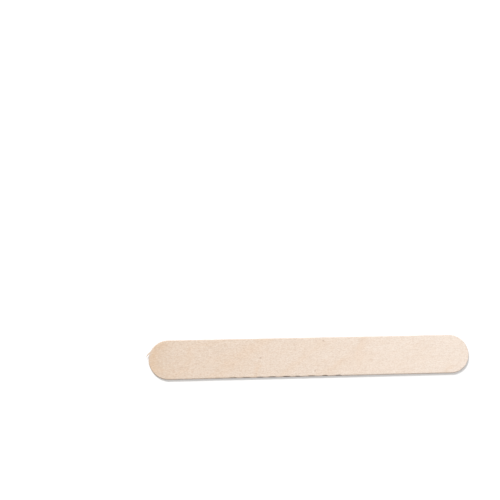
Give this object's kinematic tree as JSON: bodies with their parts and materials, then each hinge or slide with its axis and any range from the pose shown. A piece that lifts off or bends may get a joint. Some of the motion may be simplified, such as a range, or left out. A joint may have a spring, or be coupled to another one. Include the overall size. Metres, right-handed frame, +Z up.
{
  "type": "tongue depressor",
  "caption": "Flat birch blade with full round ends and a smooth worn rim, used to hold the tongue down while the throat is examined.",
  "frame": {"origin": "middle of the lower face, on which the blade rests", "axes": "+X along the blade and its grain, +Y across it, +Z up through its thickness"},
  "size_m": [0.15, 0.018, 0.0016],
  "materials": {
    "birch": "bare tumbled veneer, pale and dull, with fine lengthwise grain and faint slanting figure"
  },
  "bodies": {
    "root": {"blade": "birch"}
  },
  "joints": []
}
